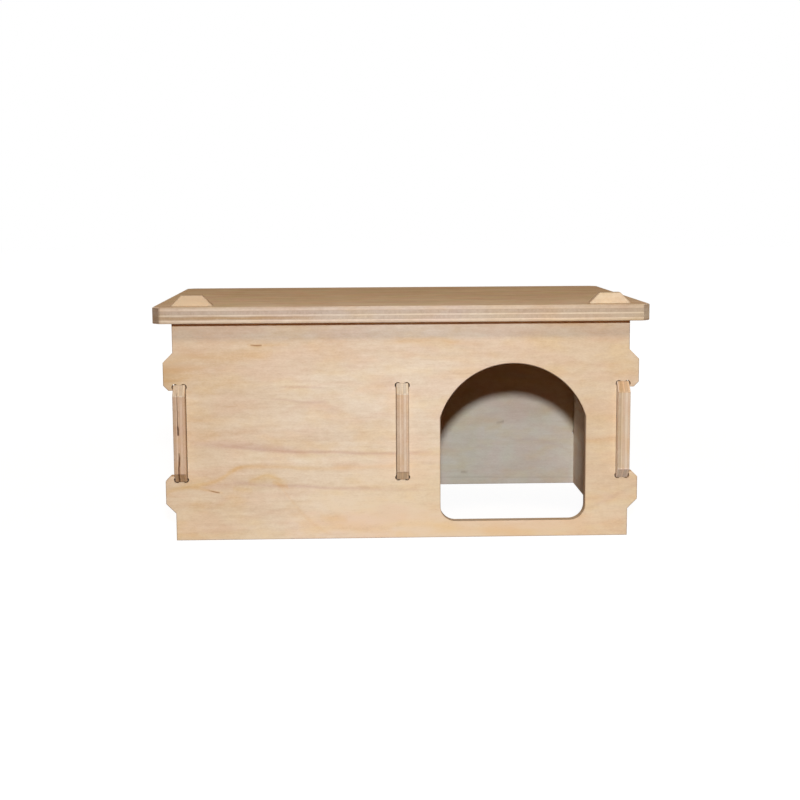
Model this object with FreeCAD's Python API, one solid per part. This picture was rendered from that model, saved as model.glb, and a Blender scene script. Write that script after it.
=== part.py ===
# Flat-pack hamster house: six plywood boards that plug together without glue or screws.
#
# Millimetres, +Z up.  The origin is on the ground under the middle of the house.  +X runs along
# the front towards the doorway end, and +Y runs from the front of the house to its back.
#
# Every board is drawn flat, as it lies on the router's bed, in its own u-v plane with its
# thickness along w, and is then stood up in its place.

import FreeCAD, Part
import math
import os

Vector = FreeCAD.Vector

# ---- Sheets and overall sizes ----
WALL_SHEET = 7.5            # thickness of the five upright boards, sold as 8 mm sheet
ROOF_SHEET = 10.0           # thickness of the roof board
BODY_LENGTH = 280.0         # over the outer faces of the two end walls
BODY_DEPTH = 180.0          # over the outer faces of the front and back panels
WALL_HEIGHT = 135.0         # ground to the underside of the roof
DIVIDER_OFFSET = 0.0        # middle of the divider from the middle of the house, towards +X

# ---- Roof ----
ROOF_OVERHANG = 10.5        # past the outer faces of the walls and panels, on all four sides
ROOF_CORNER_CUT = 4.3       # 45 degree cut across each corner

# ---- Plug joints: tenons on the walls and divider, slots in the panels ----
TENON_HEIGHT = 60.0
TENON_MID_HEIGHT = 66.8     # middle of the tenons above the ground
TENON_STAND_OUT = 5.5       # how far a tenon's tip stands out of the panel
TENON_TIP_CUT = 5.8         # 45 degree lead-in above and below the tip
SLOT_SIDE_PLAY = 0.3        # gap on each flat side of a board in its slot
SLOT_END_PLAY = 0.1         # gap past each end of a tenon or tab in its slot
CUTTER_RADIUS = 2.0         # the router bit, which leaves a round relief in every inner corner
ARRIS_CUT = 0.4             # sanded-off edge round the boards and the openings, not round slots

# ---- Ears: hooks on the panels' ends that hold the end walls in ----
EAR_STAND_OUT = 6.0         # past the outer face of the end wall
EAR_OUTER_FLAT = 14.1       # upright outer edge, between its two corner cuts
HOOK_LAP = 3.5              # how far a hook reaches over the tenon's outer face
HOOK_NOSE_CUT = 3.1         # 45 degree cut on the hook's nose

# ---- Tabs on the front panel that stand up through the roof ----
TAB_WIDTH = 25.0
TAB_RISE = 6.5              # above the roof
TAB_CORNER_CUT = 6.2        # 45 degree cut on both upper corners

# ---- Doorway in the front panel and passage in the divider ----
SILL_HEIGHT = 10.0          # strip of board left under both openings
SILL_CORNER_RADIUS = 9.5    # lower corners of both openings
DOOR_WIDTH = 90.0
DOOR_MID = 68.4             # middle of the doorway from the middle of the house
DOOR_SPRING_HEIGHT = 75.4   # where the upright sides meet the arch
DOOR_APEX_HEIGHT = 108.5
PASSAGE_WIDTH = 70.0
PASSAGE_MID = 24.0          # middle of the passage from the middle of the house, towards the back
PASSAGE_SPRING_HEIGHT = 62.0
PASSAGE_APEX_HEIGHT = 88.0

# ---- Sizes that follow ----
HALF_LENGTH = BODY_LENGTH / 2
HALF_DEPTH = BODY_DEPTH / 2
INNER_HALF_DEPTH = HALF_DEPTH - WALL_SHEET
END_WALL_MID = HALF_LENGTH - WALL_SHEET / 2
SLOT_WIDTH = WALL_SHEET + 2 * SLOT_SIDE_PLAY
SLOT_HALF_HEIGHT = TENON_HEIGHT / 2 + SLOT_END_PLAY
TAB_MID = HALF_LENGTH - TAB_WIDTH / 2
ROOF_TOP = WALL_HEIGHT + ROOF_SHEET


def flat_board(points, thickness):
    """A board with a straight-sided outline and sanded edges, lying on the u-v plane."""
    corners = [Vector(u, v, 0) for u, v in points]
    outline = Part.makePolygon(corners + corners[:1])
    board = Part.Face(outline).extrude(Vector(0, 0, thickness))
    face_edges = [edge for edge in board.Edges if edge.BoundBox.ZLength < ARRIS_CUT / 2]
    return board.makeChamfer(ARRIS_CUT, face_edges)


def mirrored(points):
    """An outline made of a right-hand half, listed from bottom to top, and its mirror image."""
    return points + [(-u, v) for u, v in reversed(points)]


def corner_relief(u, v, toward_u, toward_v, thickness):
    """The round hole that clears an inner corner at (u, v), on its open side's diagonal."""
    step = CUTTER_RADIUS * math.sqrt(0.5)
    centre = Vector(u + toward_u * step, v + toward_v * step, 0)
    return Part.makeCylinder(CUTTER_RADIUS, thickness, centre)


def relieved_slot(mid_u, mid_v, width, height, thickness):
    """The cutter's sweep for a through slot with a relief in each of its four corners."""
    low = Vector(mid_u - width / 2, mid_v - height / 2, 0)
    sweep = Part.makeBox(width, height, thickness, low)
    reliefs = [
        corner_relief(mid_u + side * width / 2, mid_v + end * height / 2, -side, -end, thickness)
        for side in (-1, 1)
        for end in (-1, 1)
    ]
    return sweep.fuse(reliefs)


def arch_outline(mid_u, width, spring, apex, growth, level):
    """Outline of an arched opening on the sill, grown outwards all round, at w = level."""
    left = mid_u - width / 2 - growth
    right = mid_u + width / 2 + growth
    sill = SILL_HEIGHT - growth
    radius = SILL_CORNER_RADIUS + growth
    sag = radius * (1 - math.sqrt(0.5))
    sill_left = Vector(left + radius, sill, level)
    sill_right = Vector(right - radius, sill, level)
    left_foot = Vector(left, sill + radius, level)
    right_foot = Vector(right, sill + radius, level)
    left_spring = Vector(left, spring, level)
    right_spring = Vector(right, spring, level)
    edges = [
        Part.makeLine(sill_left, sill_right),
        Part.Arc(sill_right, Vector(right - sag, sill + sag, level), right_foot).toShape(),
        Part.makeLine(right_foot, right_spring),
        Part.Arc(right_spring, Vector(mid_u, apex + growth, level), left_spring).toShape(),
        Part.makeLine(left_spring, left_foot),
        Part.Arc(left_foot, Vector(left + sag, sill + sag, level), sill_left).toShape(),
    ]
    return Part.Wire(edges)


def arched_opening(mid_u, width, spring, apex, thickness):
    """The cutter's sweep for an arched opening, with its rims sanded on both faces."""
    straight = arch_outline(mid_u, width, spring, apex, 0, 0)
    sweep = Part.Face(straight).extrude(Vector(0, 0, thickness))
    rims = [
        Part.makeLoft(
            [
                arch_outline(mid_u, width, spring, apex, ARRIS_CUT, face),
                arch_outline(mid_u, width, spring, apex, 0, face + inward * ARRIS_CUT),
            ],
            True,
            True,
        )
        for face, inward in ((0, 1), (thickness, -1))
    ]
    return sweep.fuse(rims)


def ear_edge(sign):
    """One ear's edge, from its hook outwards; sign is +1 above the tenon and -1 below it."""
    hook_end = SLOT_HALF_HEIGHT - HOOK_LAP
    nose = hook_end + HOOK_NOSE_CUT
    shoulder = nose + EAR_OUTER_FLAT
    foot = shoulder + EAR_STAND_OUT
    outer = HALF_LENGTH + EAR_STAND_OUT
    profile = [
        (HALF_LENGTH, hook_end),
        (outer - HOOK_NOSE_CUT, hook_end),
        (outer, nose),
        (outer, shoulder),
        (HALF_LENGTH, foot),
    ]
    return [(u, TENON_MID_HEIGHT + sign * rise) for u, rise in profile]


def panel_side():
    """Right-hand edge of a panel, from the ground to the level of the roof's underside."""
    lower_ear = list(reversed(ear_edge(-1)))
    upper_ear = ear_edge(+1)
    return [(HALF_LENGTH, 0)] + lower_ear + upper_ear


def panel_slots():
    """Sweeps for the three slots; the outer two open the panel's ends between the ears."""
    return [
        relieved_slot(mid, TENON_MID_HEIGHT, SLOT_WIDTH, 2 * SLOT_HALF_HEIGHT, WALL_SHEET)
        for mid in (-END_WALL_MID, DIVIDER_OFFSET, END_WALL_MID)
    ]


def stood_across(board, outer_y):
    """Stands a flat panel up across the house: u along X, v up, w towards the front."""
    board.Placement = FreeCAD.Placement(Vector(0, outer_y, 0), FreeCAD.Rotation(Vector(1, 0, 0), 90))
    return board


def stood_lengthwise(board, mid_x):
    """Stands a flat wall up from front to back: u along Y, v up, w along X."""
    turn = FreeCAD.Rotation(Vector(1, 1, 1), 120)
    board.Placement = FreeCAD.Placement(Vector(mid_x - WALL_SHEET / 2, 0, 0), turn)
    return board


def front_panel():
    tab_low = ROOF_TOP + TAB_RISE - TAB_CORNER_CUT
    tab_top = ROOF_TOP + TAB_RISE
    tab_inner = HALF_LENGTH - TAB_WIDTH
    right_half = panel_side() + [
        (HALF_LENGTH, tab_low),
        (HALF_LENGTH - TAB_CORNER_CUT, tab_top),
        (tab_inner + TAB_CORNER_CUT, tab_top),
        (tab_inner, tab_low),
        (tab_inner, WALL_HEIGHT),
    ]
    tab_feet = [
        corner_relief(side * tab_inner, WALL_HEIGHT, -side, 1, WALL_SHEET)
        for side in (-1, 1)
    ]
    doorway = arched_opening(DOOR_MID, DOOR_WIDTH, DOOR_SPRING_HEIGHT, DOOR_APEX_HEIGHT, WALL_SHEET)
    board = flat_board(mirrored(right_half), WALL_SHEET)
    board = board.cut(panel_slots() + tab_feet + [doorway])
    return stood_across(board, -INNER_HALF_DEPTH)


def back_panel():
    right_half = panel_side() + [(HALF_LENGTH, WALL_HEIGHT)]
    board = flat_board(mirrored(right_half), WALL_SHEET)
    board = board.cut(panel_slots())
    return stood_across(board, HALF_DEPTH)


def tenoned_wall():
    """A wall lying flat: it fills the space between the panels and has a tenon at each end."""
    low = TENON_MID_HEIGHT - TENON_HEIGHT / 2
    high = TENON_MID_HEIGHT + TENON_HEIGHT / 2
    tip = HALF_DEPTH + TENON_STAND_OUT
    back_half = [
        (INNER_HALF_DEPTH, 0),
        (INNER_HALF_DEPTH, low),
        (tip - TENON_TIP_CUT, low),
        (tip, low + TENON_TIP_CUT),
        (tip, high - TENON_TIP_CUT),
        (tip - TENON_TIP_CUT, high),
        (INNER_HALF_DEPTH, high),
        (INNER_HALF_DEPTH, WALL_HEIGHT),
    ]
    shoulder_reliefs = [
        corner_relief(end * INNER_HALF_DEPTH, level, end, away, WALL_SHEET)
        for end in (-1, 1)
        for level, away in ((low, -1), (high, 1))
    ]
    board = flat_board(mirrored(back_half), WALL_SHEET)
    return board.cut(shoulder_reliefs)


def end_wall(side):
    return stood_lengthwise(tenoned_wall(), side * END_WALL_MID)


def divider():
    passage = arched_opening(
        PASSAGE_MID, PASSAGE_WIDTH, PASSAGE_SPRING_HEIGHT, PASSAGE_APEX_HEIGHT, WALL_SHEET
    )
    return stood_lengthwise(tenoned_wall().cut(passage), DIVIDER_OFFSET)


def roof():
    half_u = HALF_LENGTH + ROOF_OVERHANG
    half_v = HALF_DEPTH + ROOF_OVERHANG
    right_half = [
        (half_u - ROOF_CORNER_CUT, -half_v),
        (half_u, -half_v + ROOF_CORNER_CUT),
        (half_u, half_v - ROOF_CORNER_CUT),
        (half_u - ROOF_CORNER_CUT, half_v),
    ]
    slot_length = TAB_WIDTH + 2 * SLOT_END_PLAY
    slot_mid = -HALF_DEPTH + WALL_SHEET / 2
    slots = [
        relieved_slot(side * TAB_MID, slot_mid, slot_length, SLOT_WIDTH, ROOF_SHEET)
        for side in (-1, 1)
    ]
    board = flat_board(mirrored(right_half), ROOF_SHEET).cut(slots)
    board.Placement = FreeCAD.Placement(Vector(0, 0, WALL_HEIGHT), FreeCAD.Rotation())
    return board


NODES = {
    "front_panel": front_panel(),
    "back_panel": back_panel(),
    "left_wall": end_wall(-1),
    "right_wall": end_wall(+1),
    "divider": divider(),
    "roof": roof(),
}

os.makedirs("parts", exist_ok=True)
for name, shape in NODES.items():
    shape.exportStep(f"parts/{name}.step")
    print(f"{name}: {len(shape.Solids)} solid, {shape.Volume / 1000:.1f} cm3, valid {shape.isValid()}")
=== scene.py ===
# The looks of a flat-pack hamster house: six raw birch plywood boards on a white studio floor.
#
# Metres, +Z up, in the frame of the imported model.  The boards are the frame's own nodes and get
# a plywood material each.  Inside a material every length is in millimetres, measured on the
# board: along the grain of its face plies, across that grain, and down through its plies.

import math
from collections import namedtuple

import bpy
from mathutils import Color, Matrix, Vector


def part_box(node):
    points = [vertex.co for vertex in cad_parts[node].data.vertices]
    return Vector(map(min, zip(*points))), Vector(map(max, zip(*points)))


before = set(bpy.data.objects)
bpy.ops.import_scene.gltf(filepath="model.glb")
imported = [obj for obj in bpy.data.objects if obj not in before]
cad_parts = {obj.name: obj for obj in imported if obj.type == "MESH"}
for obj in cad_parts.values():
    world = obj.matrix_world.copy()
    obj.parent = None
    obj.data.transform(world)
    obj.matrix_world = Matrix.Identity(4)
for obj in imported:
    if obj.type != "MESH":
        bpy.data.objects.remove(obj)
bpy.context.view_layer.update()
scene = bpy.context.scene

MM_PER_METRE = 1000.0
SCREEN_WHITE = 255                      # colours are picked as screen values up to this
WHITE = (1.0, 1.0, 1.0, 1.0)
BLACK = (0.0, 0.0, 0.0, 1.0)

# ---- Camera ----
CAMERA_PLACE = Vector((-0.0315, -0.9772, 0.2056))
CAMERA_YAW = math.radians(1.9404)       # to the right of straight ahead
CAMERA_PITCH = math.radians(7.6455)     # down from level
CAMERA_ROLL = math.radians(-0.2892)
SENSOR_WIDTH = 36.0                     # millimetres, as is the lens's length
LENS_LENGTH = 65.637

# ---- Lamps: at a level of 1, a surface that faces the lamp shows its colour as written ----
HOUSE_MIDDLE = Vector((0.0, 0.0, 0.075))
FRONT_MIDDLE = Vector((0.0, -0.09, 0.07))
FLASH_FROM_LENS = Vector((0.0098, 0.0, 0.1214))
FLASH_WIDTH = 0.040
FLASH_LEVEL = 0.78
FLASH_COLOUR = (0.93, 1.0, 1.09)
ROOM_LAMP_DISTANCE = 2.0
ROOM_LAMP_ELEVATION = math.radians(46.0)
ROOM_LAMP_WIDTH = 0.35
ROOM_LAMP_LEVEL = 0.31
ROOM_LAMP_COLOUR = (1.0, 0.78, 0.50)
SIDE_LAMP_AZIMUTHS = {"left_lamp": math.radians(-125.0), "right_lamp": math.radians(125.0)}
SIDE_LAMP_DISTANCE = 2.0
SIDE_LAMP_ELEVATION = math.radians(3.0)
SIDE_LAMP_WIDTH = 0.8
SIDE_LAMP_LEVEL = 0.78
SIDE_LAMP_COLOUR = (1.0, 1.0, 1.0)
SKY_LEVEL = 0.042
SKY_COLOUR = (1.0, 0.30, 0.06, 1.0)     # the warm light of the room, which fills the shadows
SKY_GLOW = 1.0                          # the white that the camera sees in place of that light

# ---- Floor ----
FLOOR_RADIUS = 6.0
FLOOR_CORNERS = 96
FLOOR_DROP = 0.00005                    # keeps the floor clear of the boards' lower edges
FLOOR_BOUNCE = (0.22, 0.085, 0.025, 1.0)    # how much of the light the floor sends back up
FLOOR_GLOW = 0.93                       # the white that the camera sees even in full shadow
FLOOR_FAR_GLOW = 1.0
FLOOR_NEAR = 0.25                       # the glow starts to rise here, from the middle of the house
FLOOR_FAR = 1.0
FLOOR_SHADE = 0.16                      # how strongly the lamps and the shadow show on that white


def linear(red, green, blue):
    """A colour picked as 0-255 screen values, turned into the linear values that Blender works in."""
    screen = Color((red / SCREEN_WHITE, green / SCREEN_WHITE, blue / SCREEN_WHITE))
    return (*screen.from_srgb_to_scene_linear(), 1.0)


# ---- Nodes ----
MIDDLE = 0.5                            # of noise, of a tone and of a curve: the value that changes nothing
NOISE_DETAIL = 2.0
NOISE_ROUGHNESS = 0.5
# The sockets of a Mix node for each kind of data: its factor, its two values and its result.
MIX_SOCKETS = {"FLOAT": (0, 2, 3, 0), "VECTOR": (0, 4, 5, 1), "RGBA": (0, 6, 7, 2)}


class Tree:
    """The node tree of a material or a world, with one short call for each kind of node it uses."""

    def __init__(self, owner):
        self.owner = owner
        owner.use_nodes = True
        self.nodes = owner.node_tree.nodes
        self.links = owner.node_tree.links
        self.nodes.clear()

    def feed(self, socket, value):
        if isinstance(value, bpy.types.NodeSocket):
            self.links.new(value, socket)
        else:
            socket.default_value = value

    def add(self, kind, inputs=None, **settings):
        node = self.nodes.new("ShaderNode" + kind)
        for name, value in settings.items():
            setattr(node, name, value)
        for key, value in (inputs or {}).items():
            self.feed(node.inputs[key], value)
        return node

    def math(self, operation, *values):
        return self.add("Math", dict(enumerate(values)), operation=operation).outputs[0]

    def total(self, first, *others):
        for other in others:
            first = self.math("ADD", first, other)
        return first

    def product(self, first, *others):
        for other in others:
            first = self.math("MULTIPLY", first, other)
        return first

    def vector(self, operation, *values):
        return self.add("VectorMath", dict(enumerate(values)), operation=operation).outputs[0]

    def rise(self, value, low, high):
        """A soft step from 0 at low to 1 at high."""
        inputs = {"Value": value, "From Min": low, "From Max": high}
        return self.add("MapRange", inputs, interpolation_type="SMOOTHSTEP").outputs[0]

    def noise(self, point, size, detail=NOISE_DETAIL, roughness=NOISE_ROUGHNESS):
        """Noise from 0 to 1 whose patches are about as large as size, in millimetres."""
        scaled = self.vector("DIVIDE", point, size)
        inputs = {"Vector": scaled, "Scale": 1.0, "Detail": detail, "Roughness": roughness}
        return self.add("TexNoise", inputs).outputs[0]

    def swing(self, point, size, reach, detail=NOISE_DETAIL, roughness=NOISE_ROUGHNESS):
        """The same noise centred on nought, from about -reach to reach."""
        centred = self.math("SUBTRACT", self.noise(point, size, detail, roughness), MIDDLE)
        return self.product(centred, 2 * reach)

    def mix(self, kind, factor, first, second, **settings):
        factor_socket, first_socket, second_socket, result = MIX_SOCKETS[kind]
        inputs = {factor_socket: factor, first_socket: first, second_socket: second}
        return self.add("Mix", inputs, data_type=kind, **settings).outputs[result]

    def tinted(self, colour, factor, tint, clamped=True):
        """A colour multiplied by a tint, in full where the factor is 1."""
        return self.mix("RGBA", factor, colour, tint, blend_type="MULTIPLY", clamp_factor=clamped)

    def ramp(self, factor, stops, interpolation):
        node = self.add("ValToRGB", {"Fac": factor})
        ramp = node.color_ramp
        ramp.interpolation = interpolation
        ramp.elements.remove(ramp.elements[1])
        ramp.elements[0].position, ramp.elements[0].color = stops[0]
        for position, colour in stops[1:]:
            ramp.elements.new(position).color = colour
        return node

    def curve(self, value, points):
        """A smooth curve through a few points, all from 0 to 1 both ways."""
        node = self.add("FloatCurve", {"Value": value})
        line = node.mapping.curves[0]
        line.points[0].location = points[0]
        line.points[-1].location = points[-1]
        for x, y in points[1:-1]:
            line.points.new(x, y)
        node.mapping.update()
        return node.outputs[0]

    def seen_ray(self):
        """1 for rays from the camera, and for what glossy and clear surfaces show of the room."""
        path = self.add("LightPath").outputs
        seen = self.math("MAXIMUM", path["Is Camera Ray"], path["Is Glossy Ray"])
        return self.math("MAXIMUM", seen, path["Is Transmission Ray"])

    def finish(self, shader, output="OutputMaterial"):
        end = self.add(output)
        self.links.new(shader.outputs[0], end.inputs["Surface"])
        return self.owner


# ---- Plywood sheets ----
# A sheet's plies are given by their share of its thickness, from the low side of the board, and
# by the tint that each shows where the board's edge is cut.  Every second ply's grain is crossed.
Ply = namedtuple("Ply", "share tint")
WALL_PLIES = (
    Ply(0.240, (0.98, 0.96, 0.97)),
    Ply(0.160, (0.98, 0.95, 0.96)),
    Ply(0.160, (1.10, 1.06, 1.06)),
    Ply(0.240, (0.94, 0.92, 0.95)),
    Ply(0.200, (1.12, 1.08, 1.08)),
)
ROOF_PLIES = (
    Ply(0.215, (0.89, 0.946, 1.069)),
    Ply(0.210, (0.814, 0.878, 0.998)),
    Ply(0.115, (0.805, 0.867, 0.972)),
    Ply(0.220, (0.767, 0.82, 0.947)),
    Ply(0.240, (0.753, 0.774, 0.857)),
)
PLY_WANDER = 0.12                       # how far the joints between plies stray
PLY_WANDER_SIZE = (40.0, 40.0, 90.0)
GLUE_HALF_WIDTH = 0.10
GLUE_TINT = (0.66, 0.56, 0.46, 1.0)

# ---- Grain: the size of each kind of patch along the grain, across it and through the sheet ----
FLECK_SIZE = (1.5, 0.8, 0.8)
FIBRE_SIZE = (9.0, 0.45, 0.45)
STREAK_SIZE = (30.0, 1.8, 1.8)
BAND_SIZE = (90.0, 7.0, 6.0)
MOTTLE_SIZE = (6.0, 2.6, 2.6)
CLOUD_SIZE = (50.0, 24.0, 12.0)
PORE_SIZE = (2.6, 0.22, 0.22)
CHECK_SIZE = (0.7, 0.7, 6.0)
WARMTH_SIZE = (24.0, 10.0, 9.0)
BLUSH_SIZE = (32.0, 11.0, 9.0)
BLOTCH_SIZE = (18.0, 26.0, 12.0)

FLECK_REACH = 0.30
FIBRE_REACH = 0.22
STREAK_REACH = 0.28
BAND_REACH = 0.32
MOTTLE_REACH = 0.36
CLOUD_REACH = 0.32

FIBRE_DETAIL = 3.0
FIBRE_NOISE_ROUGHNESS = 0.6
MOTTLE_DETAIL = 3.0
WARMTH_DETAIL = 3.0
PORE_DETAIL = 1.0

# The values of noise between which each of these comes in.
WARMTH_LIMITS = (0.42, 0.72)
BLUSH_LIMITS = (0.42, 0.66)
BLOTCH_LIMITS = (0.40, 0.70)
PORE_LIMITS = (0.60, 0.74)
CHECK_LIMITS = (0.55, 0.75)

# How squarely a surface has to face along an axis, from not at all to in full.
END_LIMITS = (0.35, 0.80)               # along the grain, to be end grain
FACE_LIMITS = (0.60, 0.95)              # through the sheet, to be a face
MARK_LIMITS = (0.55, 0.69)              # to the front, to carry marks

YELLOW_TINT = (1.0, 0.962, 0.865, 1.0)
PINK_TINT = (0.985, 0.940, 0.930, 1.0)
PINK_BLOTCH_TINT = (1.000, 0.905, 0.920, 1.0)
GREEN_BLOTCH_TINT = (0.930, 0.985, 0.900, 1.0)
END_TINT = (0.76, 0.72, 0.69, 1.0)
PORE_TINT = (0.90, 0.85, 0.78, 1.0)
PORE_STRENGTH = 0.5
END_STRENGTH = 0.85
CHECK_STRENGTH = 0.4                    # added to the end grain's darkness in its small cracks

# ---- Growth lines: thin wavy latewood lines on the faces ----
LINE_SPACING = 19.0
LINE_SWAY = 2.6                         # how many spacings the lines sway to each side
LINE_SWAY_SIZE = (120.0, 60.0, 40.0)
LINE_SHARE = 0.16                       # of a spacing, from the middle of a line to its soft edge
LINE_FOLD = 0.5                         # folds a count of spacings into the way to the nearest line
LINE_PATCH_SIZE = (70.0, 14.0, 20.0)
LINE_PATCH_LIMITS = (0.45, 0.70)
LINE_TINT = (0.965, 0.920, 0.900, 1.0)

# ---- Marks ----
# A mark is a soft stroke.  Its width is how far from its middle it has mostly faded, in
# millimetres, and each of its points is a place along it, its height there and how strong it is.
Mark = namedtuple("Mark", "width tint points")
MARK_WAVER = 0.8                        # how far a mark strays, in its own widths
MARK_WAVER_SIZE = (16.0, 5.0, 5.0)
MARKED_SHARE = 0.5                      # of a board's depth, from its front, where marks may lie
WHOLE_EDGE = 30.0                       # a width that tints all of a board's edge
PINK = (0.870, 0.790, 0.815, 1.0)
MAUVE = (0.930, 0.890, 0.930, 1.0)
CREAMY = (1.035, 1.058, 1.068, 1.0)
YELLOW = (0.985, 0.935, 0.800, 1.0)
ORANGE = (0.975, 0.895, 0.760, 1.0)
FLUSHED = (1.045, 1.012, 1.020, 1.0)
MINERAL = (0.480, 0.330, 0.230, 1.0)
FAINT_MINERAL = (0.700, 0.640, 0.580, 1.0)
VOID = (0.160, 0.085, 0.045, 1.0)
# On a cut, a tint above 1 takes back some of the darkness that end grain gets.
FRESH_CUT = (1.086, 1.238, 1.406, 1.0)
PALE_CUT = (1.212, 1.386, 1.492, 1.0)
TAN_CUT = (0.939, 0.834, 0.660, 1.0)
LIGHT_SCORCH = (1.302, 1.343, 1.188, 1.0)
SCORCH = (1.149, 1.267, 1.255, 1.0)
DEEP_SCORCH = (1.159, 1.161, 0.955, 1.0)
BROWN = (0.800, 0.660, 0.490, 1.0)
# Darkens two rows along the arrises of the roof's front edge.
DARKENED_ROW = (0.760, 0.710, 0.640, 1.0)
DULL = (0.880, 0.860, 0.800, 1.0)
DUSK = (0.885, 0.867, 0.788, 1.0)
DARK_END = (0.650, 0.600, 0.560, 1.0)

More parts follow.
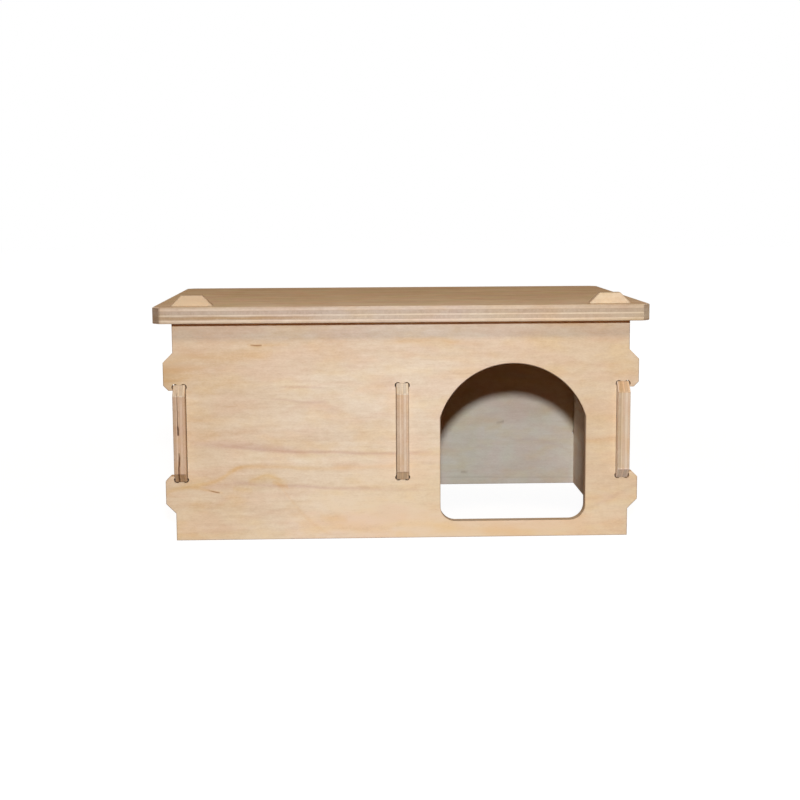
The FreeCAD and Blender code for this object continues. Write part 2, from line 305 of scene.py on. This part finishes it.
# On the front panel the points run along the board, with their heights above the ground.
FRONT_MARKS = (
    # a long pink growth line with a mauve band over its left end, and cream and orange lines under it
    Mark(1.0, PINK, (
        (-112, 59.0, 0.0), (-104, 58.2, 0.45), (-91, 56.7, 0.7), (-78, 55.6, 0.8), (-65, 54.8, 0.8),
        (-39, 54.3, 0.85), (-26, 53.5, 0.9), (-5, 53.3, 0.8), (20, 54.0, 0.0),
    )),
    Mark(2.2, MAUVE, (
        (-132, 60.0, 0.0), (-120, 59.7, 0.8), (-100, 59.0, 1.0), (-82, 57.3, 0.9), (-60, 55.6, 0.4),
        (-30, 54.8, 0.0),
    )),
    Mark(2.2, CREAMY, (
        (-104, 52.6, 0.0), (-91, 52.0, 0.8), (-65, 50.2, 1.0), (-39, 49.5, 0.8), (0, 49.5, 0.0),
    )),
    Mark(1.3, ORANGE, (
        (-106, 42.5, 0.0), (-100, 45.1, 0.7), (-85, 45.8, 0.8), (-65, 44.9, 0.7), (-46, 44.2, 0.6),
        (-26, 44.9, 0.6), (-5, 45.3, 0.5), (30, 45.0, 0.0),
    )),
    # the lower pink line
    Mark(1.1, PINK, (
        (-106, 36.4, 0.0), (-100, 35.9, 0.45), (-88, 34.4, 0.6), (-75, 33.8, 0.75), (-60, 33.1, 0.8),
        (-46, 31.9, 0.7), (-30, 31.5, 0.6), (-13, 30.9, 0.5), (15, 30.3, 0.0),
    )),
    Mark(0.8, PINK, ((-82, 87.6, 0.0), (-75, 87.4, 0.45), (-58, 85.6, 0.5), (-44, 86.5, 0.0))),
    Mark(0.6, PINK, ((-76, 95.0, 0.0), (-69, 95.1, 0.6), (-56, 94.7, 0.5), (-46, 94.5, 0.0))),
    # the arch over a warm patch, the small arch with its dark spot, and the line that falls from it
    Mark(1.7, YELLOW, (
        (-146, 30.5, 0.8), (-136, 33.6, 0.9), (-126, 34.8, 0.7), (-117, 36.4, 0.7), (-111, 39.3, 0.8),
        (-104, 43.6, 0.8), (-97, 45.8, 0.5), (-88, 46.0, 0.0),
    )),
    Mark(1.5, ORANGE, (
        (-138, 33.2, 0.0), (-128, 34.2, 0.5), (-119, 35.8, 0.6), (-112, 38.8, 0.6), (-105, 43.2, 0.6),
        (-98, 45.2, 0.0),
    )),
    Mark(1.6, PINK, (
        (-126, 33.2, 0.0), (-117, 33.6, 0.3), (-104, 35.4, 0.35), (-95, 35.8, 0.3), (-89, 35.2, 0.0),
    )),
    Mark(2.6, YELLOW, (
        (-96, 36.0, 0.0), (-88, 38.6, 0.9), (-82, 39.4, 1.0), (-77, 37.0, 0.8), (-70, 33.0, 0.0),
    )),
    Mark(1.1, ORANGE, (
        (-95, 36.4, 0.0), (-90, 38.4, 0.5), (-85, 40.4, 0.6), (-79, 38.9, 0.5), (-74, 36.0, 0.0),
    )),
    Mark(1.3, ORANGE, ((-81, 35.8, 0.0), (-77, 34.8, 1.0), (-74, 33.8, 0.9), (-70, 33.0, 0.0))),
    Mark(1.8, YELLOW, ((-106, 32.2, 0.0), (-99, 31.7, 0.9), (-92, 31.0, 0.0))),
    Mark(1.4, ORANGE, (
        (-78, 35.0, 0.0), (-75, 32.8, 0.4), (-71, 26.9, 0.4), (-66, 21.0, 0.35), (-61, 14.8, 0.35),
        (-55, 9.0, 0.35), (-49, 5.3, 0.35), (-43, 1.5, 0.0),
    )),
    # warm bands: upper left, left of the middle, along the lower edge and round the right-hand ears
    Mark(3.2, ORANGE, (
        (-142, 111.0, 0.4), (-128, 113.4, 0.6), (-115, 114.0, 0.7), (-100, 114.9, 0.7), (-90, 116.1, 0.6),
        (-78, 118.0, 0.0),
    )),
    Mark(2.0, ORANGE, ((-146, 105.6, 0.8), (-138, 106.2, 0.8), (-128, 106.8, 0.6), (-112, 108.5, 0.0))),
    Mark(1.9, ORANGE, ((-146, 99.5, 0.9), (-138, 100.0, 0.8), (-128, 101.8, 0.4), (-118, 103.0, 0.0))),
    Mark(1.6, ORANGE, ((-134, 75.8, 0.0), (-126, 75.3, 0.6), (-114, 75.0, 0.5), (-100, 75.0, 0.0))),
    Mark(2.6, YELLOW, (
        (-66, 8.0, 0.0), (-56, 6.9, 0.6), (-42, 7.6, 0.75), (-27, 5.6, 0.7), (-13, 6.8, 0.7), (5, 9.0, 0.7),
        (40, 5.0, 0.5), (85, 4.0, 0.0),
    )),
    Mark(2.4, YELLOW, ((-52, 14.0, 0.0), (-43, 13.0, 0.9), (-34, 11.8, 0.0))),
    Mark(1.6, ORANGE, (
        (-12, 122.0, 0.0), (8, 123.2, 0.5), (22, 124.0, 0.5), (34, 121.3, 0.4), (52, 120.0, 0.0),
    )),
    Mark(1.8, ORANGE, ((-14, 115.0, 0.0), (4, 114.4, 0.4), (22, 112.2, 0.4), (44, 111.0, 0.0))),
    Mark(3.0, ORANGE, ((112, 75.2, 0.4), (122, 74.3, 0.6), (134, 73.6, 0.4))),
    Mark(2.6, ORANGE, ((112, 59.0, 0.4), (124, 60.0, 0.6), (134, 60.3, 0.4))),
    Mark(1.6, PINK, (
        (108, 15.0, 0.0), (118, 18.9, 0.3), (127, 22.7, 0.4), (140, 29.6, 0.3), (146, 32.0, 0.2),
    )),
    # two mineral streaks with warm tails
    Mark(1.0, ORANGE, ((-140, 33.0, 0.0), (-128, 32.9, 0.6), (-119, 31.2, 0.9), (-110, 29.4, 0.0))),
    Mark(0.42, MINERAL, ((-121, 31.9, 0.0), (-118.5, 31.0, 0.5), (-115.5, 30.2, 1.0), (-112.5, 29.7, 0.0))),
    Mark(1.0, ORANGE, ((-95, 121.0, 0.0), (-88, 120.6, 0.8), (-79, 120.9, 0.7), (-68, 121.0, 0.0))),
    Mark(0.38, MINERAL, ((-93, 121.1, 0.0), (-90.5, 120.8, 0.8), (-88, 120.6, 0.9), (-84.5, 120.8, 0.0))),
    # a paler patch to the left of the doorway, a warmer one under it, a duller ear and a warmer sill
    Mark(18.0, CREAMY, (
        (-80, 98.0, 0.0), (-60, 98.0, 0.9), (-20, 97.0, 1.0), (5, 95.0, 0.8), (25, 95.0, 0.6),
        (40, 95.0, 0.0),
    )),
    Mark(24.0, YELLOW, (
        (-60, 24.0, 0.0), (-30, 24.0, 0.4), (0, 28.0, 0.6), (25, 32.0, 0.7), (60, 32.0, 0.0),
    )),
    Mark(7.0, DULL, ((-147, 100.0, 1.0), (-141, 100.0, 0.8), (-134, 100.0, 0.0))),
    Mark(9.0, YELLOW, ((-5, 2.0, 0.0), (20, 2.0, 0.5), (60, 2.0, 0.5), (110, 2.0, 0.5), (140, 2.0, 0.3))),
    Mark(10.0, FLUSHED, ((-75, 7.0, 0.0), (-45, 7.0, 0.8), (0, 7.0, 1.0), (110, 7.0, 0.9), (140, 7.0, 0.3))),
    # a warmer lower left corner
    Mark(3.0, YELLOW, ((-140, 2.5, 0.8), (-115, 2.5, 0.7), (-90, 3.5, 0.4), (-65, 4.0, 0.0))),
    Mark(11.0, ORANGE, ((-140, 14.0, 0.35), (-120, 14.0, 0.28), (-95, 14.0, 0.0))),
    # a duller left-hand tab and a paler right-hand one
    Mark(6.0, DULL, ((-140, 148.0, 0.5), (-108, 148.0, 0.5), (-100, 148.0, 0.0))),
    Mark(6.0, CREAMY, ((100, 148.0, 0.0), (108, 148.0, 0.8), (135, 148.0, 0.8))),
    Mark(6.0, FRESH_CUT, ((100, 148.0, 0.0), (108, 148.0, 0.3), (135, 148.0, 0.3))),
)
# On the back panel they run the same way, on the face that shows through the doorway.
BACK_MARKS = (
    Mark(1.1, FAINT_MINERAL, ((75, 45.4, 0.0), (77.5, 45.9, 0.6), (80, 46.4, 0.7), (82, 46.8, 0.0))),
    Mark(4.0, YELLOW, ((66, 41.0, 0.0), (73, 42.5, 0.8), (80, 43.5, 0.0))),
    Mark(1.0, FAINT_MINERAL, ((48.5, 9.2, 0.0), (51, 9.3, 0.7), (53, 9.1, 0.5), (55, 9.0, 0.0))),
    Mark(0.6, FAINT_MINERAL, (
        (20, 5.3, 0.0), (40, 5.3, 0.25), (85, 4.8, 0.3), (125, 4.4, 0.25), (135, 4.3, 0.0),
    )),
    Mark(1.0, PINK, (
        (84, 31.0, 0.0), (97, 33.0, 0.25), (110, 31.5, 0.3), (126, 26.0, 0.2), (135, 20.0, 0.0),
    )),
)


# On the front edges of the three boards that run back, they run upwards, with their places along X.
# A tenon's two lead-in cuts, as heights and how strongly the cut's tint shows there:
UPPER_CUT = ((89.8, 0.0), (91.4, 1.0), (97.0, 1.0))
LOWER_CUT = ((36.0, 1.0), (41.9, 1.0), (42.7, 0.0))
WALL_MIDDLE = 136.3                     # from the middle of the house to the middle of an end wall


def tenon_marks(middle, upper_tint, lower_tint, *others):
    """The tints of a tenon's two lead-in cuts, over the whole thickness of its board."""
    upper = Mark(WHOLE_EDGE, upper_tint, tuple((height, middle, strong) for height, strong in UPPER_CUT))
    lower = Mark(WHOLE_EDGE, lower_tint, tuple((height, middle, strong) for height, strong in LOWER_CUT))
    return (upper, lower, *others)


LEFT_WALL_MARKS = tenon_marks(
    -WALL_MIDDLE, PALE_CUT, DEEP_SCORCH,
    # two voids in the core plies: a thin one that ends in a wider hole, and a wide one
    Mark(0.32, VOID, (
        (66, -136.9, 0.0), (68, -136.9, 1.0), (76, -137.1, 0.8), (91, -137.2, 0.6), (93, -137.2, 0.0),
    )),
    Mark(0.50, VOID, ((66, -136.8, 0.0), (67.5, -136.9, 0.9), (70, -136.9, 0.9), (72.5, -137.0, 0.0))),
    Mark(0.50, VOID, (
        (37, -137.1, 0.9), (42, -137.1, 1.0), (50, -136.7, 1.0), (53.5, -136.5, 0.8), (56, -136.5, 0.0),
    )),
)
RIGHT_WALL_MARKS = tenon_marks(
    WALL_MIDDLE, TAN_CUT, SCORCH,
    # the duskier tenon between its cuts, and its darker inner side
    Mark(WHOLE_EDGE, DUSK, (
        (43.0, WALL_MIDDLE, 0.0), (44.5, WALL_MIDDLE, 1.0),
        (89.5, WALL_MIDDLE, 1.0), (91.0, WALL_MIDDLE, 0.0),
    )),
    Mark(1.2, DUSK, ((43.0, 134.4, 0.5), (60.0, 134.4, 1.0), (91.0, 134.4, 1.0))),
)
DIVIDER_MARKS = tenon_marks(0.0, FRESH_CUT, LIGHT_SCORCH)

# On the roof's front edge they run along the board, with their heights above the ground.
ROOF_MARKS = (
    Mark(1.0, BROWN, (
        (-146, 138.3, 0.6), (-125, 138.4, 0.9), (-100, 138.3, 1.0), (-80, 138.4, 0.9), (-62, 138.3, 0.5),
        (-45, 138.3, 0.1), (-30, 138.3, 0.0),
    )),
    # two rows along the lower and upper arrises of the roof's front edge, darkened
    Mark(0.8, DARKENED_ROW, ((-146, 135.7, 0.9), (-60, 135.7, 1.0), (60, 135.7, 0.9), (146, 135.7, 1.0))),
    Mark(0.6, DARKENED_ROW, (
        (-146, 144.6, 0.7), (-60, 144.6, 0.5), (20, 144.6, 0.15), (100, 144.6, 0.3), (146, 144.6, 0.6),
    )),
    Mark(WHOLE_EDGE, DARK_END, ((-151, 140.0, 1.0), (-147.5, 140.0, 1.0), (-145, 140.0, 0.0))),
    Mark(WHOLE_EDGE, DULL, (
        (-146, 140.0, 1.0), (-125, 140.0, 0.75), (-90, 140.0, 0.45), (-50, 140.0, 0.2), (0, 140.0, 0.0),
    )),
    Mark(WHOLE_EDGE, DULL, ((95, 140.0, 0.0), (125, 140.0, 0.25), (146, 140.0, 0.6))),
    Mark(WHOLE_EDGE, YELLOW, ((35, 140.0, 0.0), (80, 140.0, 0.6), (146, 140.0, 0.7))),
)

# How a face's tone and warmth drift over the board, as curves over its length and its height.
# A half is no drift.
# On the back panel the drift is partly painted shade, and on the roof it is partly painted light.
Drift = namedtuple("Drift", "tone_along tone_across warmth_along warmth_across")
NO_DRIFT = ((0.0, MIDDLE), (1.0, MIDDLE))
PLAIN_FACE = Drift(NO_DRIFT, NO_DRIFT, NO_DRIFT, NO_DRIFT)
# The back panel darkens and warms towards its top. This is partly the wood's own drift and partly painted
# shade, where the doorway arch's shadow falls on it.
BACK_DRIFT_AND_SHADE = PLAIN_FACE._replace(
    tone_across=((0.0, 0.52), (0.3, 0.50), (0.4, 0.44), (0.5, 0.36), (1.0, 0.30)),
    warmth_across=((0.0, 0.50), (0.35, 0.52), (0.6, 0.65), (1.0, 0.80)),
)
# The roof's top is paler and bluer towards its front edge. This is partly the wood's own drift and partly
# painted light.
ROOF_DRIFT_AND_LIGHT = PLAIN_FACE._replace(
    tone_across=((0.0, 0.575), (0.25, 0.52), (0.5, 0.50), (1.0, 0.50)),
    warmth_across=((0.0, 0.00), (0.15, 0.25), (0.35, 0.45), (1.0, 0.55)),
)
# The front panel darkens from its foot towards its eave, and more so towards its left end.
FRONT_DRIFT = Drift(
    tone_along=((0.0, 0.30), (0.2, 0.42), (0.5, 0.55), (0.75, 0.55), (0.88, 0.49), (1.0, 0.46)),
    tone_across=((0.0, 0.78), (0.1, 0.69), (0.35, 0.56), (0.7, 0.48), (1.0, 0.40)),
    warmth_along=((0.0, 0.66), (0.18, 0.52), (0.42, 0.38), (0.62, 0.48), (0.85, 0.84), (1.0, 0.90)),
    warmth_across=((0.0, 0.68), (0.3, 0.58), (0.55, 0.40), (0.75, 0.36), (1.0, 0.44)),
)
TONE_DRIFT_REACH = 2.2
WARMTH_DRIFT_REACH = 1.6

# ---- Boards ----
# A board names the frame's axes along its face grain, across it and through the sheet, its plies,
# the colours of its light and dark wood, its marks and how its tone and warmth drift.  The figure
# is a curve along the board: where it is 1, the streaks and growth lines show in full.  The
# blotches are the strength of large pink and green patches on its faces.
Board = namedtuple("Board", "along across through plies light dark marks drift figure blotches")
EVEN = ((0.0, 1.0), (1.0, 1.0))
FAINT = ((0.0, 0.6), (1.0, 0.6))
FRONT_FIGURE = ((0.0, 0.95), (0.5, 0.92), (0.72, 0.85), (0.85, 0.42), (1.0, 0.38))
CREAM = (linear(232, 217, 194), linear(208, 186, 157))
# The right wall's colours are a paler copy of the cream wood, which is painted light for its inner face seen
# through the doorway.
LIT_CREAM = (linear(246, 234, 216), linear(236, 220, 200))
# The left wall's colours are a darker copy of the cream wood, which is painted shade.
SHADED_CREAM = (linear(224, 205, 180), linear(200, 174, 144))
PALE = (linear(240, 232, 215), linear(222, 209, 189))
ROSY = (linear(252, 230, 196), linear(221, 193, 160))
BOARDS = {
    "front_panel": Board("X", "Z", "Y", WALL_PLIES, *CREAM, FRONT_MARKS, FRONT_DRIFT, FRONT_FIGURE, 0.0),
    "back_panel": Board("X", "Z", "Y", WALL_PLIES, *PALE, BACK_MARKS, BACK_DRIFT_AND_SHADE, FAINT, 0.5),
    "left_wall": Board("Y", "Z", "X", WALL_PLIES, *SHADED_CREAM, LEFT_WALL_MARKS, PLAIN_FACE, EVEN, 0.0),
    "right_wall": Board("Y", "Z", "X", WALL_PLIES, *LIT_CREAM, RIGHT_WALL_MARKS, PLAIN_FACE, EVEN, 0.0),
    "divider": Board("Y", "Z", "X", WALL_PLIES, *CREAM, DIVIDER_MARKS, PLAIN_FACE, EVEN, 0.0),
    "roof": Board("X", "Y", "Z", ROOF_PLIES, *ROSY, ROOF_MARKS, ROOF_DRIFT_AND_LIGHT, EVEN, 0.6),
}
BOARD_STEP = Vector((531.0, 277.0, 89.0))   # moves each board on to a stretch of noise of its own

# Steps to stretches of noise that nothing else on the board uses.
WARMTH_STEP = (333.0, 77.0, 5.0)
BLUSH_STEP = (91.0, 577.0, 5.0)
PINK_BLOTCH_STEP = (17.0, 211.0, 7.0)
GREEN_BLOTCH_STEP = (451.0, 23.0, 9.0)

# ---- The plywood's surface ----
ROUGHNESS = 0.82
END_ROUGHNESS = 0.10                    # added on end grain
FIBRE_ROUGHNESS = 0.10
SHEEN_LEVEL = 0.2
SHEEN_FULL = 0.40                       # how far from square on the sheen starts to fade
SHEEN_GONE = 0.85                       # and is gone, where 1 is edge-on
BUMP_STRENGTH = 0.6
BUMP_DISTANCE = 0.00006                 # metres
FIBRE_HEIGHT = 0.8
PORE_HEIGHT = -0.4

# How far into the board a point lies along one axis, in millimetres and as a share of its size,
# where the board begins on that axis, its size, and how squarely the surface faces along it.
Axis = namedtuple("Axis", "place share low size facing")


class Space:
    """A point's place on its board, measured along the grain, across it and through the plies."""

    def __init__(self, tree, node, board, number):
        low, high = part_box(node)
        low, high = low * MM_PER_METRE, high * MM_PER_METRE
        coordinates = tree.add("TexCoord").outputs
        in_millimetres = tree.vector("MULTIPLY", coordinates["Object"], (MM_PER_METRE,) * 3)
        places = tree.add("SeparateXYZ", {0: tree.vector("SUBTRACT", in_millimetres, low)}).outputs
        facings = tree.add("SeparateXYZ", {0: tree.vector("ABSOLUTE", coordinates["Normal"])}).outputs

        def axis(letter):
            start = low["XYZ".index(letter)]
            size = high["XYZ".index(letter)] - start
            share = tree.math("DIVIDE", places[letter], size)
            return Axis(places[letter], share, start, size, facings[letter])

        self.along, self.across, self.through = axis(board.along), axis(board.across), axis(board.through)
        step = BOARD_STEP * number
        self.point = self.stepped(tree, self.along, self.across, step)
        self.turned_point = self.stepped(tree, self.across, self.along, step)

    def stepped(self, tree, first, second, step):
        point = tree.add("CombineXYZ", {0: first.place, 1: second.place, 2: self.through.place})
        return tree.vector("ADD", point.outputs[0], step)


def ply_stack(tree, space, plies):
    """The tint of the ply at each depth, 1 where its grain is crossed, and 1 on a glue line."""
    thickness = space.through.size
    wander = tree.swing(space.point, PLY_WANDER_SIZE, PLY_WANDER)
    share = tree.math("DIVIDE", tree.total(space.through.place, wander), thickness)
    half = GLUE_HALF_WIDTH / thickness
    layers = []
    joints = [(0.0, BLACK)]
    start = 0.0
    for number, ply in enumerate(plies):
        layers.append((start, (*ply.tint, float(number % 2))))
        if number:
            joints += [(start - half, BLACK), (start, WHITE), (start + half, BLACK)]
        start += ply.share
    ply_ramp = tree.ramp(share, layers, "CONSTANT").outputs
    return ply_ramp["Color"], ply_ramp["Alpha"], tree.ramp(share, joints, "LINEAR").outputs["Color"]


def drifted(tree, space, along_points, across_points, reach):
    """How far a curve over the length and one over the height lie from the middle, times reach."""
    along = tree.curve(space.along.share, along_points)
    across = tree.curve(space.across.share, across_points)
    return tree.product(tree.math("SUBTRACT", tree.total(along, across), 2 * MIDDLE), reach)


def growth_lines(tree, space):
    """Thin lines that sway along the face and come and go, as rotary-cut veneer shows them."""
    sway = tree.swing(space.point, LINE_SWAY_SIZE, LINE_SWAY)
    phase = tree.total(tree.math("DIVIDE", space.across.place, LINE_SPACING), sway)
    from_line = tree.math("PINGPONG", phase, LINE_FOLD)
    line = tree.rise(from_line, LINE_SHARE, 0.0)
    patch = tree.rise(tree.noise(space.point, LINE_PATCH_SIZE), *LINE_PATCH_LIMITS)
    return tree.product(line, patch)


def draw_marks(tree, colour, board, space):
    """The marks on the surface that a board turns to the front, which is a face or an edge."""
    axes = {board.along: space.along, board.across: space.across, board.through: space.through}
    front = axes.pop("Y")
    first, second = axes.values()
    squarely = tree.rise(front.facing, *MARK_LIMITS)
    shown = tree.product(squarely, tree.math("LESS_THAN", front.share, MARKED_SHARE))
    waver = tree.swing(space.point, MARK_WAVER_SIZE, MARK_WAVER)
    for mark in board.marks:
        line = []
        strength = []
        for along, across, strong in mark.points:
            share = (along - first.low) / first.size
            line.append((share, (across - second.low) / second.size))
            strength.append((share, strong))
        middle = tree.product(tree.curve(first.share, line), second.size)
        off = tree.math("DIVIDE", tree.math("SUBTRACT", second.place, middle), mark.width)
        off = tree.total(off, waver)
        fade = tree.math("EXPONENT", tree.product(off, off, -1.0))
        strong = tree.product(fade, tree.curve(first.share, strength), shown)
        colour = tree.tinted(colour, strong, mark.tint)
    return colour


def wood_tone(tree, space, board, grain, fibre, figure):
    """How light the wood is at each point, from its dark colour at 0 to its light one at 1, with the board's
    drift of tone, which is partly painted shade on the back panel and partly painted light on the roof.
    """
    fleck = tree.swing(grain, FLECK_SIZE, FLECK_REACH)
    streak = tree.product(tree.swing(grain, STREAK_SIZE, STREAK_REACH), figure)
    band = tree.product(tree.swing(grain, BAND_SIZE, BAND_REACH), figure)
    mottle = tree.swing(grain, MOTTLE_SIZE, MOTTLE_REACH, MOTTLE_DETAIL)
    cloud = tree.swing(space.point, CLOUD_SIZE, CLOUD_REACH)
    drift = drifted(tree, space, board.drift.tone_along, board.drift.tone_across, TONE_DRIFT_REACH)
    return tree.total(MIDDLE, fleck, fibre, streak, band, mottle, cloud, drift)


def warmed(tree, colour, space, board):
    """A colour with patches of yellow and pink, and with the board's drift of warmth, which is partly
    painted shade on the back panel and partly painted light on the roof.
    """
    warmth = tree.noise(tree.vector("ADD", space.point, WARMTH_STEP), WARMTH_SIZE, WARMTH_DETAIL)
    drift = drifted(tree, space, board.drift.warmth_along, board.drift.warmth_across, WARMTH_DRIFT_REACH)
    warm = tree.total(tree.rise(warmth, *WARMTH_LIMITS), drift)
    colour = tree.tinted(colour, warm, YELLOW_TINT, clamped=False)
    blush = tree.noise(tree.vector("ADD", space.point, BLUSH_STEP), BLUSH_SIZE)
    return tree.tinted(colour, tree.rise(blush, *BLUSH_LIMITS), PINK_TINT)


def figured(tree, colour, space, board, face, figure):
    """A colour with what only a face shows: large pink and green patches, and growth lines."""
    for step, tint in ((PINK_BLOTCH_STEP, PINK_BLOTCH_TINT), (GREEN_BLOTCH_STEP, GREEN_BLOTCH_TINT)):
        patches = tree.noise(tree.vector("ADD", space.point, step), BLOTCH_SIZE)
        blotch = tree.rise(patches, *BLOTCH_LIMITS)
        colour = tree.tinted(colour, tree.product(blotch, face, board.blotches), tint)
    lines = tree.product(growth_lines(tree, space), face, figure)
    return tree.tinted(colour, lines, LINE_TINT)


def plywood(node, board, number):
    """Raw sanded plywood: figured face plies, striped edges, darker end grain and fine fibres."""
    tree = Tree(bpy.data.materials.new(node + "_plywood"))
    space = Space(tree, node, board, number)
    ply_tint, crossed, glue = ply_stack(tree, space, board.plies)
    grain = tree.mix("VECTOR", crossed, space.point, space.turned_point)
    end_facing = tree.mix("FLOAT", crossed, space.along.facing, space.across.facing)
    end_grain = tree.rise(end_facing, *END_LIMITS)
    face = tree.rise(space.through.facing, *FACE_LIMITS)
    edge = tree.math("SUBTRACT", 1.0, face)
    fibre = tree.swing(grain, FIBRE_SIZE, FIBRE_REACH, FIBRE_DETAIL, FIBRE_NOISE_ROUGHNESS)
    figure = tree.curve(space.along.share, board.figure)

    tone = wood_tone(tree, space, board, grain, fibre, figure)
    colour = tree.mix("RGBA", tone, board.dark, board.light)
    colour = warmed(tree, colour, space, board)
    colour = figured(tree, colour, space, board, face, figure)

    pores = tree.rise(tree.noise(grain, PORE_SIZE, PORE_DETAIL), *PORE_LIMITS)
    colour = tree.tinted(colour, tree.product(pores, PORE_STRENGTH), PORE_TINT)
    checks = tree.rise(tree.noise(space.point, CHECK_SIZE), *CHECK_LIMITS)
    rough_end = tree.product(end_grain, tree.total(END_STRENGTH, tree.product(checks, CHECK_STRENGTH)))
    colour = tree.tinted(colour, rough_end, END_TINT)
    colour = tree.tinted(colour, edge, ply_tint)
    colour = tree.tinted(colour, tree.product(glue, edge), GLUE_TINT)
    colour = draw_marks(tree, colour, board, space)

    height = tree.total(tree.product(fibre, FIBRE_HEIGHT), tree.product(pores, PORE_HEIGHT))
    bump = tree.add("Bump", {"Height": height, "Strength": BUMP_STRENGTH, "Distance": BUMP_DISTANCE})
    roughness = tree.total(
        ROUGHNESS, tree.product(fibre, FIBRE_ROUGHNESS), tree.product(end_grain, END_ROUGHNESS)
    )
    slant = tree.add("LayerWeight").outputs["Facing"]
    shader = tree.add("BsdfPrincipled", {
        "Base Color": colour,
        "Roughness": roughness,
        "Normal": bump.outputs[0],
        "Specular IOR Level": tree.product(tree.rise(slant, SHEEN_GONE, SHEEN_FULL), SHEEN_LEVEL),
    })
    return tree.finish(shader)


def dress_boards():
    for number, (node, board) in enumerate(BOARDS.items()):
        material = plywood(node, board, number + 1)
        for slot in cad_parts[node].material_slots:
            slot.material = material


# ---- Studio ----

def floor_material():
    """A white floor that keeps the house's shadow and sends only part of the light back up."""
    tree = Tree(bpy.data.materials.new("white_floor"))
    place = tree.add("TexCoord").outputs["Object"]
    distance = tree.add("VectorMath", {0: place}, operation="LENGTH").outputs["Value"]
    spread = {"Value": distance, "From Min": FLOOR_NEAR, "From Max": FLOOR_FAR}
    spread.update({"To Min": FLOOR_GLOW, "To Max": FLOOR_FAR_GLOW})
    strength = tree.add("MapRange", spread, interpolation_type="SMOOTHSTEP").outputs[0]
    glow = tree.add("Emission", {"Color": WHITE, "Strength": strength})
    shade = tree.add("BsdfDiffuse", {"Color": (FLOOR_SHADE,) * 3 + (1.0,)})
    shown = tree.add("AddShader", {0: glow.outputs[0], 1: shade.outputs[0]})
    bounce = tree.add("BsdfDiffuse", {"Color": FLOOR_BOUNCE})
    mixed = tree.add("MixShader", {0: tree.seen_ray(), 1: bounce.outputs[0], 2: shown.outputs[0]})
    return tree.finish(mixed)


def build_floor():
    bpy.ops.mesh.primitive_circle_add(
        vertices=FLOOR_CORNERS, radius=FLOOR_RADIUS, fill_type="NGON", location=(0.0, 0.0, -FLOOR_DROP)
    )
    floor = bpy.context.object
    floor.name = "studio_floor"
    floor.data.materials.append(floor_material())


def build_sky():
    """A faint warm sky for light, which shows as white."""
    scene.world = bpy.data.worlds.new("studio_sky")
    tree = Tree(scene.world)
    light = tree.add("Background", {"Color": SKY_COLOUR, "Strength": SKY_LEVEL})
    shown = tree.add("Background", {"Color": WHITE, "Strength": SKY_GLOW})
    mixed = tree.add("MixShader", {0: tree.seen_ray(), 1: light.outputs[0], 2: shown.outputs[0]})
    tree.finish(mixed, "OutputWorld")


def add_lamp(name, place, aim, width, colour, level):
    """A round lamp whose level is the share of full light that it gives at its aim."""
    light = bpy.data.lights.new(name, "AREA")
    light.shape = "DISK"
    light.size = width
    light.color = colour
    light.energy = level * (math.pi * (aim - place).length) ** 2
    lamp = bpy.data.objects.new(name, light)
    lamp.location = place
    lamp.rotation_euler = (aim - place).to_track_quat("-Z", "Y").to_euler()
    lamp.visible_camera = False
    scene.collection.objects.link(lamp)


def round_the_house(distance, azimuth, elevation):
    """A place seen from the middle of the house: azimuth 0 is in front, and 90 degrees is to the right."""
    level = distance * math.cos(elevation)
    out = Vector((level * math.sin(azimuth), -level * math.cos(azimuth), distance * math.sin(elevation)))
    return HOUSE_MIDDLE + out


def light_the_house():
    add_lamp(
        "flash_lamp", CAMERA_PLACE + FLASH_FROM_LENS, FRONT_MIDDLE, FLASH_WIDTH, FLASH_COLOUR, FLASH_LEVEL
    )
    room_place = round_the_house(ROOM_LAMP_DISTANCE, 0.0, ROOM_LAMP_ELEVATION)
    add_lamp("room_lamp", room_place, FRONT_MIDDLE, ROOM_LAMP_WIDTH, ROOM_LAMP_COLOUR, ROOM_LAMP_LEVEL)
    for name, azimuth in SIDE_LAMP_AZIMUTHS.items():
        place = round_the_house(SIDE_LAMP_DISTANCE, azimuth, SIDE_LAMP_ELEVATION)
        add_lamp(name, place, HOUSE_MIDDLE, SIDE_LAMP_WIDTH, SIDE_LAMP_COLOUR, SIDE_LAMP_LEVEL)


def place_camera():
    data = bpy.data.cameras.new("camera")
    data.sensor_width = SENSOR_WIDTH
    data.lens = LENS_LENGTH
    camera = bpy.data.objects.new("camera", data)
    turn = Matrix.Rotation(-CAMERA_YAW, 4, "Z")
    tilt = Matrix.Rotation(math.pi / 2 - CAMERA_PITCH, 4, "X")
    roll = Matrix.Rotation(CAMERA_ROLL, 4, "Z")
    camera.matrix_world = Matrix.Translation(CAMERA_PLACE) @ turn @ tilt @ roll
    scene.collection.objects.link(camera)
    scene.camera = camera


scene.view_settings.view_transform = "Standard"
place_camera()
light_the_house()
build_sky()
build_floor()
dress_boards()
